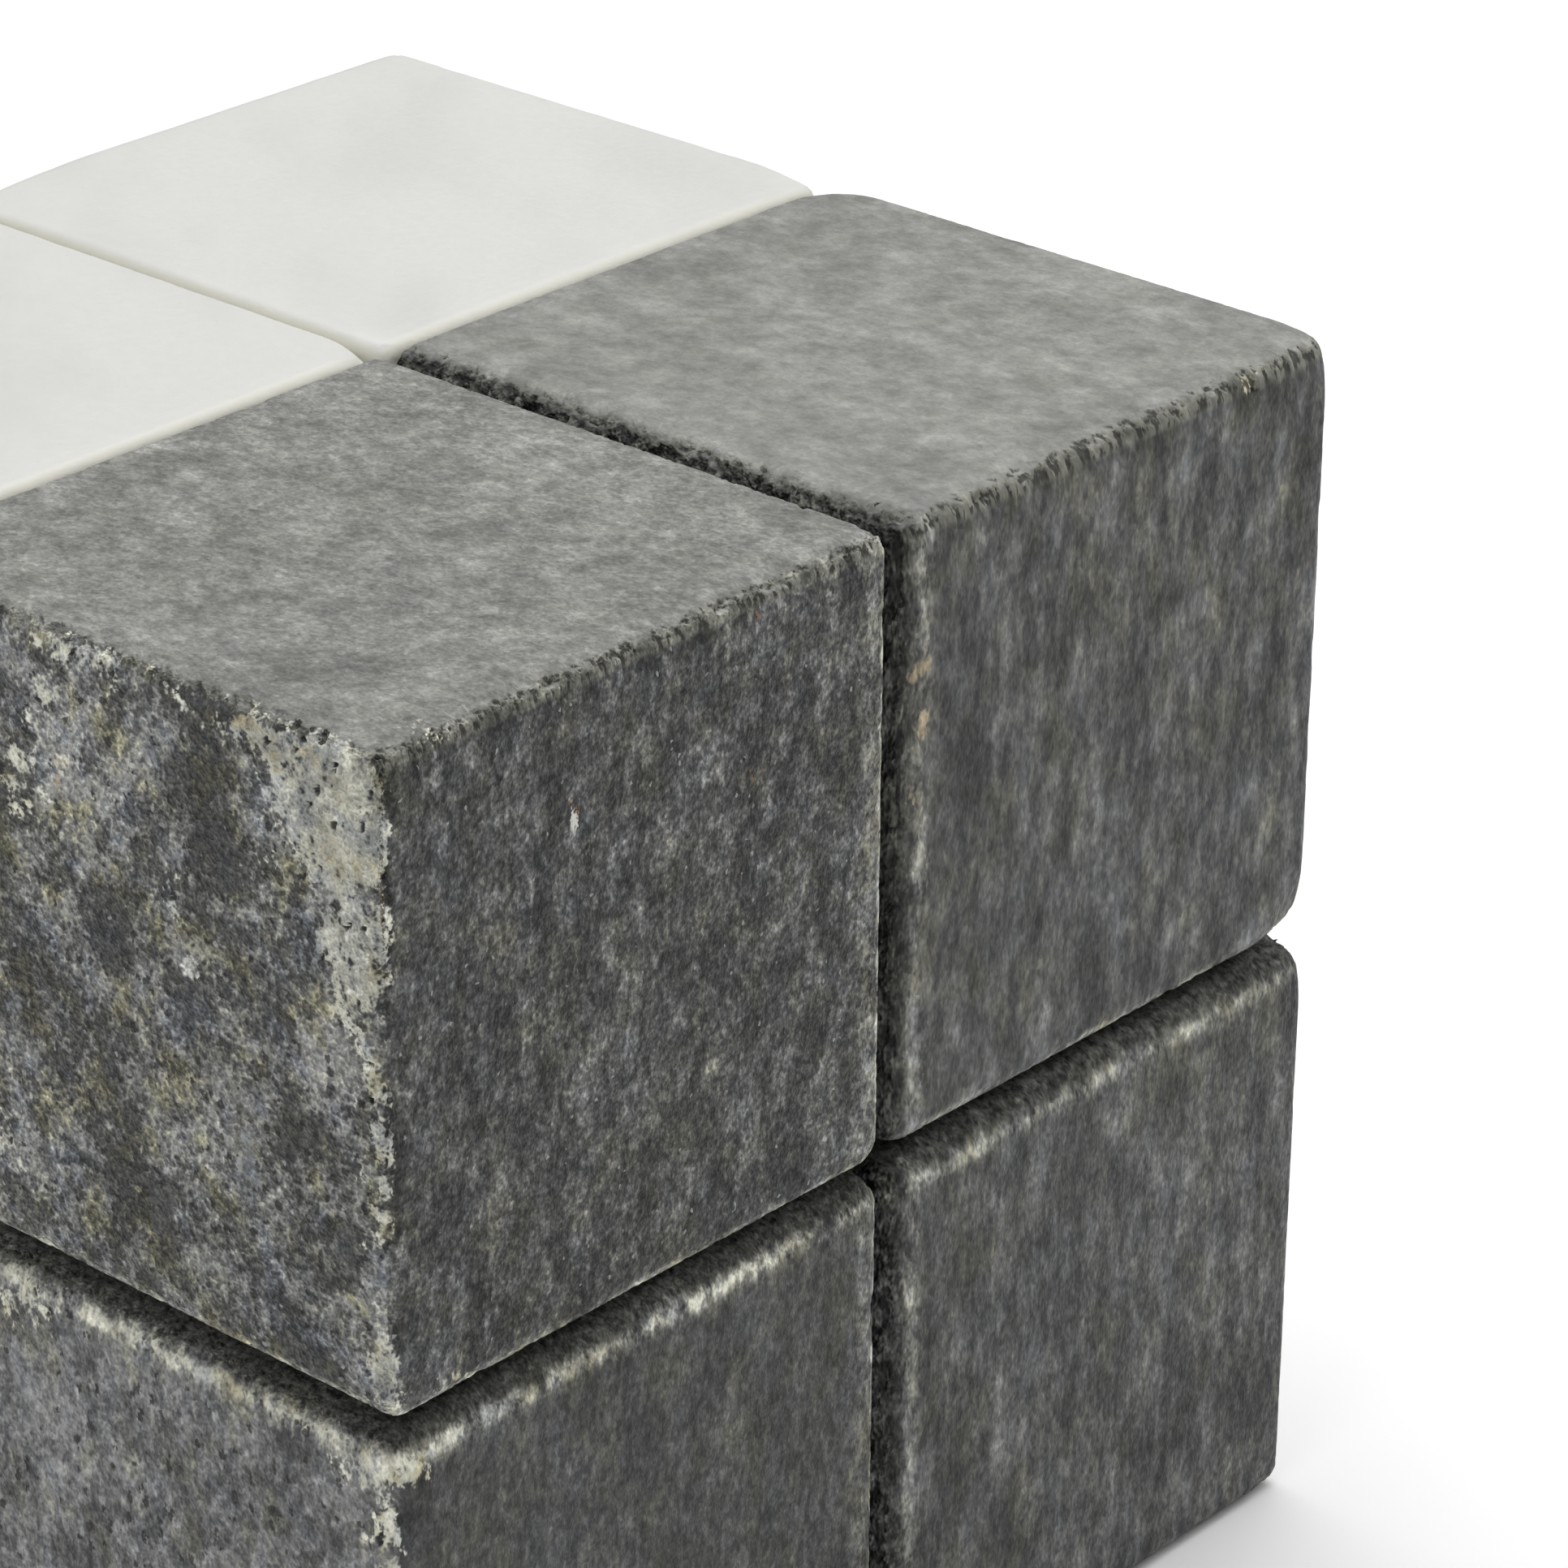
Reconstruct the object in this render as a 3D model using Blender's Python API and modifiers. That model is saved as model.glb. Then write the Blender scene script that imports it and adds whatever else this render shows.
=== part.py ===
"""A decorative marble block: eight tumbled stone cubes, two wide, two deep and two high.

The front four cubes are dark grey marble and the back four are white marble. Every cube
is one stone with flat sawn faces and rounded, slightly worn edges, and the edges along
the joints are rounded the most, so that a narrow groove stands between the cubes. The
origin is at the middle of the block's underside, with the front along -Y, the right
along +X and the height along +Z. All sizes are in metres.
"""
import bmesh
import bpy
from mathutils import Vector, noise

# Driving dimensions
CUBE_SIDE = 0.050
JOINT_GAP = 0.0006
JOINT_EDGE_RADIUS = 0.0027
OUTER_EDGE_RADIUS = 0.0020

# Wear of the tumbled edges
ROUNDING_STEPS = 3
FACE_CUTS = 8
DARK_WEAR_DEPTH = 0.00050
WHITE_WEAR_DEPTH = 0.00015
WEAR_GRAIN = 0.006

# Chips knocked out of the dark cubes: a ball's radius, and how far its middle lies
# outside the edge or the corner that it bites
EDGE_CHIP_RADIUS = 0.0024
EDGE_CHIP_REACH = 0.0006
CORNER_CHIP_RADIUS = 0.0030
CORNER_CHIP_REACH = 0.0002
CHIP_STRETCH = 1.5
CHIP_ROUGHNESS = 0.30
CHIP_GRAIN = 0.0016

COLLECTION_NAME = "marble_block"
CUTTER_COLLECTION_NAME = "marble_block_cutters"

# One row for each cube: stone, place (-1 left or 1 right, -1 front or 1 back, -1 bottom
# or 1 top) and how far it was set out of line when the cubes were bonded (x and y)
CUBES = {
    "dark_cube_front_left_top": ("dark", (-1, -1, 1), (-0.00015, 0.00015)),
    "dark_cube_front_right_top": ("dark", (1, -1, 1), (0.00010, 0.00000)),
    "dark_cube_front_left_bottom": ("dark", (-1, -1, -1), (-0.00020, 0.00010)),
    "dark_cube_front_right_bottom": ("dark", (1, -1, -1), (0.00010, -0.00015)),
    "white_cube_back_left_top": ("white", (-1, 1, 1), (-0.00005, 0.00005)),
    "white_cube_back_right_top": ("white", (1, 1, 1), (0.00010, -0.00010)),
    "white_cube_back_left_bottom": ("white", (-1, 1, -1), (0.00000, 0.00010)),
    "white_cube_back_right_bottom": ("white", (1, 1, -1), (0.00005, 0.00005)),
}

# Chips, by cube: the edge or corner they sit on, as a position in the cube's own frame
# measured in half sides, from -1 to 1 on each axis
CHIPS = {
    "dark_cube_front_left_top": [
        (-1.0, -1.0, 1.0),
        (-0.62, -1.0, 1.0),
        (0.35, -1.0, 1.0),
        (-1.0, -0.10, 1.0),
        (-1.0, -1.0, 0.30),
    ],
    "dark_cube_front_right_top": [
        (-1.0, -1.0, 0.42),
        (-0.45, -1.0, 1.0),
        (0.62, -1.0, 1.0),
        (-1.0, 0.20, 1.0),
    ],
    "dark_cube_front_left_bottom": [
        (-0.30, -1.0, 1.0),
        (-1.0, 0.35, 1.0),
        (-1.0, -1.0, 1.0),
    ],
    "dark_cube_front_right_bottom": [
        (-0.15, -1.0, 1.0),
        (0.70, -1.0, 1.0),
        (-1.0, -1.0, 0.25),
    ],
}

STONES = {
    "dark": {
        "material": "dark_marble",
        "colour": (0.085, 0.088, 0.090, 1.0),
        "roughness": 0.55,
        "wear": DARK_WEAR_DEPTH,
    },
    "white": {
        "material": "white_marble",
        "colour": (0.745, 0.745, 0.715, 1.0),
        "roughness": 0.35,
        "wear": WHITE_WEAR_DEPTH,
    },
}


def clear_scene():
    """Start from an empty scene."""
    for old in list(bpy.data.objects):
        bpy.data.objects.remove(old, do_unlink=True)


def new_collection(name):
    """A collection linked to the scene."""
    collection = bpy.data.collections.new(name)
    bpy.context.scene.collection.children.link(collection)
    return collection


def stone_material(stone):
    """The stone's plain finish."""
    material = bpy.data.materials.new(stone["material"])
    material.use_nodes = True
    shader = material.node_tree.nodes["Principled BSDF"]
    shader.inputs["Base Color"].default_value = stone["colour"]
    shader.inputs["Roughness"].default_value = stone["roughness"]
    shader.inputs["Metallic"].default_value = 0.0
    material.diffuse_color = stone["colour"]
    return material


def edge_radius(edge, place):
    """The rounding of one edge: none inside a sawn face, and most along a joint."""
    if edge.calc_face_angle(0.0) < 1.0:
        return 0.0
    for face in edge.link_faces:
        towards_neighbour = face.normal.dot(Vector(place)) < -0.5
        if towards_neighbour:
            return JOINT_EDGE_RADIUS
    return OUTER_EDGE_RADIUS


def sharp_cube(name, place):
    """A sawn cube, divided along its edges, that carries the rounding of each edge."""
    shape = bmesh.new()
    bmesh.ops.create_cube(shape, size=CUBE_SIDE)
    bmesh.ops.subdivide_edges(shape, edges=shape.edges[:], cuts=FACE_CUTS, use_grid_fill=True)
    weights = shape.edges.layers.float.new("bevel_weight_edge")
    for edge in shape.edges:
        edge[weights] = edge_radius(edge, place) / JOINT_EDGE_RADIUS
    mesh = bpy.data.meshes.new(name)
    shape.to_mesh(mesh)
    shape.free()
    return bpy.data.objects.new(name, mesh)


def round_edges(cube):
    """Tumble the sharp edges round, and keep the result in the cube's mesh."""
    rounding = cube.modifiers.new("rounded_edges", "BEVEL")
    rounding.limit_method = "WEIGHT"
    rounding.width = JOINT_EDGE_RADIUS
    rounding.segments = ROUNDING_STEPS
    rounding.use_clamp_overlap = False
    bpy.context.view_layer.objects.active = cube
    bpy.ops.object.modifier_apply(modifier=rounding.name)


def on_flat_face(position):
    """True where a point lies on one of the cube's six sawn faces."""
    tolerance = 1e-6
    return max(abs(value) for value in position) > CUBE_SIDE / 2 - tolerance


def wear_edges(cube, depth, seed):
    """Push the rounded edges in by an uneven amount and leave the sawn faces flat."""
    offset = Vector((seed, 0.37 * seed, -0.61 * seed))
    for vertex in cube.data.vertices:
        if on_flat_face(vertex.co):
            continue
        unevenness = noise.noise(vertex.co / WEAR_GRAIN + offset)
        inward = -vertex.co.normalized()
        vertex.co += inward * depth * (0.5 + 0.5 * unevenness)


def cube_centre(place, shift):
    """Where a cube's middle lies in the block."""
    pitch = CUBE_SIDE + JOINT_GAP
    x = place[0] * pitch / 2 + shift[0]
    y = place[1] * pitch / 2 + shift[1]
    z = CUBE_SIDE / 2 + pitch * (place[2] + 1) / 2
    return Vector((x, y, z))


def roughen_chip(cutter, spot):
    """Break up the ball's round surface and draw it out along the edge it bites."""
    for vertex in cutter.data.vertices:
        unevenness = noise.noise(vertex.co / CHIP_GRAIN + cutter.location / WEAR_GRAIN)
        vertex.co *= 1.0 + CHIP_ROUGHNESS * unevenness
        for axis, value in enumerate(spot):
            if abs(value) < 1.0:
                vertex.co[axis] *= CHIP_STRETCH


def chip_cutter(name, centre, spot, cutters):
    """A rough ball, centred just outside the edge, that bites a shallow chip."""
    at_corner = all(abs(value) == 1.0 for value in spot)
    radius = CORNER_CHIP_RADIUS if at_corner else EDGE_CHIP_RADIUS
    reach = CORNER_CHIP_REACH if at_corner else EDGE_CHIP_REACH
    outward = Vector([value if abs(value) == 1.0 else 0.0 for value in spot]).normalized()
    place = centre + Vector(spot) * CUBE_SIDE / 2 + outward * reach
    bpy.ops.mesh.primitive_ico_sphere_add(subdivisions=2, radius=radius, location=place)
    cutter = bpy.context.object
    cutter.name = name
    cutter.hide_render = True
    cutter.display_type = "WIRE"
    roughen_chip(cutter, spot)
    for collection in list(cutter.users_collection):
        collection.objects.unlink(cutter)
    cutters.objects.link(cutter)
    return cutter


def cut_chips(cube, cutters):
    """Knock the listed chips out of one cube."""
    for number, spot in enumerate(CHIPS.get(cube.name, []), start=1):
        cutter = chip_cutter(f"{cube.name}_chip_{number}", cube.location, spot, cutters)
        cut = cube.modifiers.new(f"chip_{number}", "BOOLEAN")
        cut.operation = "DIFFERENCE"
        cut.solver = "EXACT"
        cut.object = cutter


def main():
    clear_scene()
    block = new_collection(COLLECTION_NAME)
    cutters = new_collection(CUTTER_COLLECTION_NAME)
    finishes = {kind: stone_material(stone) for kind, stone in STONES.items()}
    for seed, (name, (kind, place, shift)) in enumerate(CUBES.items(), start=1):
        cube = sharp_cube(name, place)
        block.objects.link(cube)
        round_edges(cube)
        wear_edges(cube, STONES[kind]["wear"], seed)
        cube.data.materials.append(finishes[kind])
        cube.location = cube_centre(place, shift)
        cut_chips(cube, cutters)


main()
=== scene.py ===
"""The looks of a marble block: eight tumbled stone cubes, four dark grey and four white.

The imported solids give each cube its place. Every cube is modelled anew as one stone over its
solid: a sawn cube is rounded along its edges, divided finely where it is seen, nibbled and
pitted, and given a solid pattern of grain that runs through it from face to face.
"""
import math

import bpy
import numpy as np
from mathutils import Matrix, Vector


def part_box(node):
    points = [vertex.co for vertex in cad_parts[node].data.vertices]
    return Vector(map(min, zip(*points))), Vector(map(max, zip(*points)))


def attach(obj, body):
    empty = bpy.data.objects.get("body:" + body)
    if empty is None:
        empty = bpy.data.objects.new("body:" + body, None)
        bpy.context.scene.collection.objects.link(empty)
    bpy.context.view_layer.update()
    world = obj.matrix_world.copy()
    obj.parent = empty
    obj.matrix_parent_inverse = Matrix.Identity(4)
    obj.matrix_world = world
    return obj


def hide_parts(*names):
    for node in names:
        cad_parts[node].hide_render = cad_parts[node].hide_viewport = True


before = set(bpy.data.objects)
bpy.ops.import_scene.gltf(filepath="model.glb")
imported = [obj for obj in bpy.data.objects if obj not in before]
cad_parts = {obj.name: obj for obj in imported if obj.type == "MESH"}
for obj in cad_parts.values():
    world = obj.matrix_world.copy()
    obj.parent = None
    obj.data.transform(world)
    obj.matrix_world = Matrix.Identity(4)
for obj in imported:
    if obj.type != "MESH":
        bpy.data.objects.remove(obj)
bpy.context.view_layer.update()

bl_info = {
    "name": "Marble block",
    "version": (1, 0, 0),
    "blender": (4, 5, 0),
    "location": "3D View > Sidebar > Marble block",
    "description": "Models a decorative block of eight marble cubes on a pale studio floor",
    "category": "Object",
}

MM = 0.001
BODY = "root"

# The faces of a cube, as the axis and the side they look along
FACES = {
    "left": (0, -1),
    "right": (0, 1),
    "front": (1, -1),
    "back": (1, 1),
    "bottom": (2, -1),
    "top": (2, 1),
}

# Each dark cube, in millimetres from its own middle, with -25 and 25 at its faces:
# place: where it stands in the block, as -1 or 1 in x, y and z
# grain: where it lay in the raw stone
# stretch: how far the stone's pattern is drawn out in it
# crisp and bold: how much of the small grains, and of the layers and the crust, it shows beside
#   the near cube
# tone: how light the cube is beside the usual stone, on a scale of ratios
# radii and wear: the rounding of an edge, and its wear from 0 to 1, where they aren't the usual
# blunt: each corner that is worn in, with its reach and its depth
# joints: for each face at a joint, how far the painted shade of the joint reaches and how dark it
# is
# rims: each pale rim, as its joint face and outer face in either order, its middle and its reach
#   from the joint, and its strength
# shades and cream: each lighter or darker place and each patch of cream stone, as a middle, a
#   reach and a strength
DARK_CUBES = {
    "dark_cube_front_left_top": {
        "place": (-1, -1, 1),
        "grain": (11.0, -7.0, 23.0),
        "crisp": 1.0,
        "bold": 1.0,
        "tone": 0.0,
        "radii": {
            ("left", "front"): 1.2, ("left", "top"): 1.4, ("front", "top"): 1.1,
            ("front", "right"): 1.7, ("top", "right"): 1.8, ("front", "bottom"): 1.9,
            ("left", "bottom"): 2.2, ("top", "back"): 1.2, ("right", "back"): 1.6,
        },
        "wear": {
            ("left", "front"): 0.42, ("left", "top"): 0.55, ("front", "top"): 0.95,
            ("front", "right"): 0.30, ("front", "bottom"): 0.30, ("left", "bottom"): 0.35,
            ("top", "right"): 0.45,
        },
        "joints": {"right": (0.4, 0.70), "bottom": (0.3, 0.60), "back": (0.3, 0.60)},
        "rims": (
            ("front", "right", 0.85, 0.35, 0.95),
            ("front", "right", 2.20, 1.10, 0.22),
            ("front", "bottom", 0.75, 0.45, 0.50),
            ("left", "bottom", 0.80, 0.60, 0.62),
            ("top", "right", 0.60, 0.40, 0.25),
        ),
        "shades": (
            ((-25.0, 5.0, 16.0), (3.0, 5.0, 6.0), 0.34),
            ((-25.0, -9.0, 16.0), (3.0, 2.4, 8.0), -0.42),
            ((-25.0, 1.0, 4.0), (3.0, 3.0, 2.6), -0.32),
            ((-25.0, 9.0, -3.0), (3.0, 3.2, 4.2), -0.36),
            ((-25.0, 1.0, -15.0), (3.0, 3.2, 7.0), -0.38),
            ((-25.0, -16.0, -6.0), (3.0, 2.2, 2.8), -0.30),
            ((-25.0, -1.0, 17.0), (3.0, 2.4, 6.0), 0.22),
            ((-25.0, -16.0, -20.0), (3.0, 4.5, 3.0), -0.34),
            ((-25.0, -18.5, 1.0), (3.0, 2.2, 4.5), 0.28),
            ((-25.0, -7.0, -12.0), (3.0, 3.2, 4.0), 0.20),
            ((-25.0, 12.0, -16.0), (3.0, 3.0, 3.2), 0.34),
            ((-17.0, -25.0, -2.0), (2.6, 3.0, 20.0), -0.13),
            ((-2.0, -25.0, -8.0), (2.6, 3.0, 13.0), 0.13),
            ((7.0, -25.0, 4.0), (1.6, 3.0, 8.0), 0.13),
            ((-14.0, -25.0, -1.0), (1.4, 3.0, 4.0), 0.12),
            ((19.0, -25.0, -19.0), (4.0, 3.0, 4.0), 0.15),
            ((-17.0, -15.0, 25.0), (6.0, 5.0, 3.0), -0.15),
            ((17.0, -4.0, 25.0), (6.0, 17.0, 3.0), 0.09),
        ),
        "cream": (
            ((-25.0, -21.4, 20.0), (0.8, 6.4, 7.0), 1.15),
            ((-25.0, -22.6, 10.5), (0.8, 3.8, 7.0), 0.93),
            ((-25.0, -24.2, -3.0), (0.7, 1.9, 12.0), 0.62),
            ((-25.0, -15.5, 22.8), (1.2, 5.4, 2.0), 0.82),
            ((-25.0, 2.0, 23.4), (1.2, 9.0, 1.5), 0.55),
            ((-25.0, 10.0, 13.0), (2.0, 3.4, 4.4), 0.50),
            ((-25.0, 6.0, 19.0), (2.0, 3.4, 3.0), 0.50),
            ((-25.0, -5.5, 8.0), (2.0, 1.8, 2.4), 0.48),
            ((-25.0, -24.0, -21.0), (0.9, 1.6, 3.4), 0.90),
            ((-20.0, -25.0, -23.6), (2.6, 1.2, 1.2), 0.56),
            ((-19.5, -24.0, 25.0), (3.4, 1.6, 1.5), 0.38),
            ((-25.0, 13.0, -17.0), (2.0, 2.0, 3.0), 0.50),
        ),
    },
    "dark_cube_front_right_top": {
        "place": (1, -1, 1),
        "grain": (-41.0, 13.0, 57.0),
        "stretch": (1.25, 1.2, 1.8),
        "crisp": 0.49,
        "bold": 0.82,
        "tone": 0.13,
        "radii": {
            ("left", "front"): 3.0, ("left", "top"): 3.0, ("front", "top"): 1.6,
            ("front", "right"): 1.6, ("top", "right"): 1.1, ("front", "bottom"): 2.4,
            ("right", "bottom"): 3.2, ("top", "back"): 1.2, ("left", "back"): 1.6,
        },
        "wear": {
            ("left", "front"): 0.70, ("left", "top"): 0.95, ("front", "top"): 0.90,
            ("front", "bottom"): 0.35, ("front", "right"): 0.12, ("top", "right"): 0.12,
        },
        "blunt": (
            ((25.0, -25.0, 25.0), 6.0, 0.6),
            ((25.0, -25.0, -25.0), 7.0, 1.3),
            ((25.0, 25.0, 25.0), 6.0, 1.0),
        ),
        "joints": {"left": (1.9, 0.78), "bottom": (0.4, 0.60), "back": (0.3, 0.60)},
        "rims": (
            ("left", "front", 2.90, 0.95, 0.27),
            ("front", "bottom", 1.00, 0.60, 0.30),
            ("left", "top", 3.00, 0.60, 0.10),
        ),
        "shades": (
            ((-17.5, -25.0, 0.0), (4.5, 3.0, 26.0), -0.14),
            ((-4.0, -25.0, 8.0), (1.8, 3.0, 8.0), 0.22),
            ((-11.0, -25.0, 1.0), (1.5, 3.0, 4.0), 0.18),
            ((5.0, -25.0, -5.0), (2.2, 3.0, 4.5), 0.18),
            ((-1.0, -25.0, -9.0), (1.8, 3.0, 4.0), 0.15),
            ((6.0, -25.0, 17.0), (1.5, 3.0, 6.0), 0.18),
            ((16.0, -25.0, -2.0), (1.0, 3.0, 15.0), 0.14),
            ((-24.0, -24.0, 24.0), (3.0, 3.0, 2.4), -0.45),
            ((-3.0, 20.0, 25.0), (22.0, 4.0, 3.0), -0.08),
            ((21.0, -6.0, 25.0), (3.0, 17.0, 3.0), 0.07),
        ),
        "cream": (
            ((15.0, -25.0, 24.0), (1.0, 1.4, 0.8), 1.00),
        ),
    },
    "dark_cube_front_left_bottom": {
        "place": (-1, -1, -1),
        "grain": (83.0, 29.0, -17.0),
        "stretch": (1.0, 1.0, 1.3),
        "crisp": 0.64,
        "bold": 0.52,
        "tone": -0.02,
        "radii": {
            ("left", "front"): 2.0, ("left", "top"): 2.8, ("front", "top"): 2.6,
            ("front", "right"): 1.8, ("top", "right"): 2.4,
        },
        "wear": {
            ("left", "front"): 0.45, ("left", "top"): 0.60, ("front", "top"): 0.60,
            ("front", "right"): 0.30,
        },
        "joints": {"top": (1.5, 0.62), "right": (0.4, 0.70), "back": (0.4, 0.60)},
        "rims": (
            ("front", "top", 2.15, 0.75, 0.58),
            ("left", "top", 2.20, 0.85, 0.86),
            ("front", "right", 0.85, 0.35, 0.55),
            ("front", "right", 2.10, 0.90, 0.25),
        ),
        "shades": (
            ((-25.0, -12.0, 12.0), (3.0, 10.0, 8.0), 0.10),
            ((-25.0, -13.0, 15.0), (3.0, 2.5, 3.0), -0.20),
            ((-25.0, 5.0, 11.0), (3.0, 8.0, 11.0), 0.16),
            ((-17.0, -25.0, 14.0), (2.0, 3.0, 5.0), 0.12),
            ((-11.0, -25.0, 12.0), (1.3, 3.0, 9.0), 0.27),
            ((5.5, -25.0, 16.0), (1.2, 3.0, 2.6), 0.20),
            ((-1.0, -25.0, 13.0), (2.5, 3.0, 6.0), -0.16),
            ((8.0, -25.0, 6.0), (1.4, 3.0, 10.0), 0.14),
        ),
        "cream": (
            ((-25.0, -22.5, 21.5), (1.2, 3.0, 2.2), 0.74),
            ((-24.0, -25.0, 21.6), (1.9, 1.2, 1.7), 0.68),
            ((-25.0, -24.0, 9.0), (0.8, 1.9, 11.0), 0.86),
            ((-25.0, 12.0, 21.0), (2.0, 3.5, 2.2), 0.56),
        ),
    },
    "dark_cube_front_right_bottom": {
        "place": (1, -1, -1),
        "grain": (-67.0, -59.0, 5.0),
        "stretch": (1.25, 1.2, 1.8),
        "crisp": 0.62,
        "bold": 0.80,
        "tone": 0.13,
        "radii": {
            ("left", "front"): 2.8, ("left", "top"): 3.0, ("front", "top"): 2.8,
            ("front", "right"): 1.3, ("top", "right"): 1.8,
        },
        "wear": {
            ("left", "front"): 0.60, ("left", "top"): 0.60, ("front", "top"): 0.60,
            ("front", "right"): 0.12, ("top", "right"): 0.12,
        },
        "blunt": (((25.0, -25.0, 25.0), 6.0, 0.7),),
        "joints": {"top": (1.5, 0.62), "left": (2.0, 0.80), "back": (0.4, 0.60)},
        "rims": (
            ("front", "top", 2.35, 0.75, 0.34),
            ("left", "front", 2.80, 0.75, 0.25),
        ),
        "shades": (
            ((15.0, -25.0, 5.0), (1.0, 3.0, 18.0), 0.24),
            ((4.0, -25.0, 17.0), (1.3, 3.0, 5.0), 0.22),
            ((3.0, -25.0, 7.0), (1.3, 3.0, 3.0), 0.18),
            ((-12.5, -25.0, 7.0), (1.4, 3.0, 10.0), 0.18),
            ((-19.0, -25.0, -8.0), (3.5, 3.0, 5.0), -0.18),
            ((23.0, -24.0, 0.0), (2.0, 3.0, 24.0), -0.12),
        ),
        "cream": (
            ((23.6, -23.6, 0.0), (0.8, 0.8, 24.0), 0.45),
        ),
    },
}

# Marks in the dark stone, by cube: each one's middle and reach in millimetres from the cube's own
# middle, its colour and its strength
MARKS = {
    "dark_cube_front_left_top": (
        ((-6.0, -25.0, 11.7), (1.1, 1.2, 1.1), (0.17, 0.17, 0.14), 0.55),
        ((-25.0, -7.0, 4.0), (1.2, 1.05, 0.95), (0.66, 0.66, 0.62), 1.00),
        ((-25.0, -7.8, 5.4), (1.2, 1.7, 1.1), (0.30, 0.30, 0.25), 0.80),
        ((-25.0, 5.6, 15.0), (1.0, 0.85, 0.75), (0.66, 0.63, 0.52), 0.90),
        ((-25.0, -22.3, 10.6), (1.2, 1.8, 2.9), (0.52, 0.52, 0.46), 0.95),
        ((-25.0, -20.3, 12.9), (1.2, 1.3, 1.4), (0.33, 0.34, 0.32), 0.90),
        ((-25.0, -18.0, 8.0), (1.2, 1.6, 2.4), (0.24, 0.26, 0.27), 0.70),
        ((-25.0, -12.4, 23.6), (1.0, 2.0, 0.8), (0.36, 0.32, 0.21), 0.62),
        ((-25.0, -15.6, 22.6), (1.0, 1.5, 1.3), (0.30, 0.26, 0.16), 0.62),
        ((-25.0, -19.0, 23.0), (1.0, 1.6, 0.9), (0.42, 0.38, 0.27), 0.60),
        ((-25.0, -20.2, 17.0), (1.0, 1.3, 1.8), (0.40, 0.36, 0.25), 0.50),
        ((-25.0, 11.0, -5.0), (0.9, 1.8, 1.2), (0.17, 0.19, 0.21), 0.60),
        ((-25.0, -12.0, -9.0), (0.9, 1.6, 2.6), (0.19, 0.21, 0.23), 0.60),
    ),
    "dark_cube_front_right_top": (
        ((-22.6, -25.0, 13.5), (1.1, 1.5, 2.0), (0.27, 0.22, 0.14), 0.66),
        ((-22.4, -25.0, 9.0), (1.0, 1.5, 1.9), (0.38, 0.31, 0.21), 0.70),
        ((-22.6, -25.0, 3.5), (0.9, 1.5, 1.8), (0.34, 0.31, 0.22), 0.64),
    ),
}

# The cube with the near corner, and its marks that are too small to be kept on the mesh
NEAR_CUBE = "dark_cube_front_left_top"
SPECKS = (
    ((-7.2, -25.0, 14.1), (0.30, 1.2, 1.05), (0.80, 0.79, 0.74), 0.95),
    ((-7.1, -25.0, 15.1), (0.20, 0.8, 0.24), (0.50, 0.24, 0.09), 0.70),
    ((10.6, -25.0, 11.0), (0.22, 0.8, 0.26), (0.36, 0.17, 0.07), 0.70),
    ((11.0, -25.0, 23.0), (0.26, 0.8, 0.22), (0.36, 0.18, 0.07), 0.70),
    ((-25.0, 5.8, 13.4), (1.0, 0.40, 0.40), (0.58, 0.46, 0.30), 0.80),
    ((-24.7, -24.7, 15.0), (0.20, 0.20, 6.5), (0.06, 0.035, 0.02), 0.80),
)

# Each white cube, in the same way, but the second number of a joint is how strongly its warm edge
# colour shows, which is partly painted light that lifts the shade on the rounded edges
WHITE_CUBES = {
    "white_cube_back_left_top": {
        "place": (-1, 1, 1),
        "grain": (5.0, 71.0, -31.0),
        "radii": {("front", "top"): 1.2, ("top", "right"): 1.5, ("front", "right"): 1.2},
        "blunt": (((25.0, -25.0, 25.0), 5.0, 1.1),),
        "joints": {"front": (0.8, 1.0), "right": (0.5, 1.0)},
    },
    "white_cube_back_right_top": {
        "place": (1, 1, 1),
        "grain": (-23.0, -37.0, 43.0),
        "radii": {
            ("front", "top"): 1.3, ("left", "top"): 1.5, ("left", "front"): 1.2,
            ("front", "right"): 1.6, ("top", "right"): 1.5,
        },
        "blunt": (
            ((25.0, -25.0, 25.0), 8.0, 0.8),
            ((-25.0, -25.0, 25.0), 4.5, 0.8),
            ((-25.0, 25.0, 25.0), 16.0, 0.9),
        ),
        "joints": {"front": (0.8, 1.0), "left": (0.5, 1.0)},
    },
    "white_cube_back_left_bottom": {"place": (-1, 1, -1), "grain": (47.0, -11.0, 61.0)},
    "white_cube_back_right_bottom": {"place": (1, 1, -1), "grain": (-53.0, 19.0, -73.0)},
}

# The usual stretch of the stone's pattern
NO_STRETCH = (1.0, 1.0, 1.0)

# The dark stone's patterns that are a millimetre or more across, which the mesh carries: the size
# of a feature in millimetres in x, y and z, its slant in the stone in degrees, its detail and
# roughness, and the spread of its values, by which it is evened out
COARSE_PATTERNS = {
    "layer": ((2.8, 4.0, 7.0), 0.0, 2.0, 1.00, 0.076),
    "crust": ((4.6, 6.4, 5.8), 20.0, 2.0, 1.00, 0.076),
    "patch": ((2.0, 2.1, 2.6), 20.0, 1.0, 1.00, 0.093),
    "hue": ((3.4, 4.0, 5.0), 20.0, 2.0, 0.95, 0.077),
}

# The smaller features of the dark stone, in millimetres in x, y and z
FINE_GRAINS = (0.62, 0.92, 0.90)
CRYSTALS = (0.27, 0.37, 0.35)
NIBBLES = (0.54, 0.75, 1.8)
CHIPS = (3.4, 3.4, 4.2)
PITS = (0.90, 0.95, 1.05)
FINE_SPREAD = 0.078
CRYSTAL_SPREAD = 0.29

# The white stone's features, in millimetres, and their slant in degrees
CLOUDS = (13.0, 30.0, 22.0)
WISPS = (5.0, 14.0, 9.0)
WHITE_SLANT = 38.0
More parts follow.
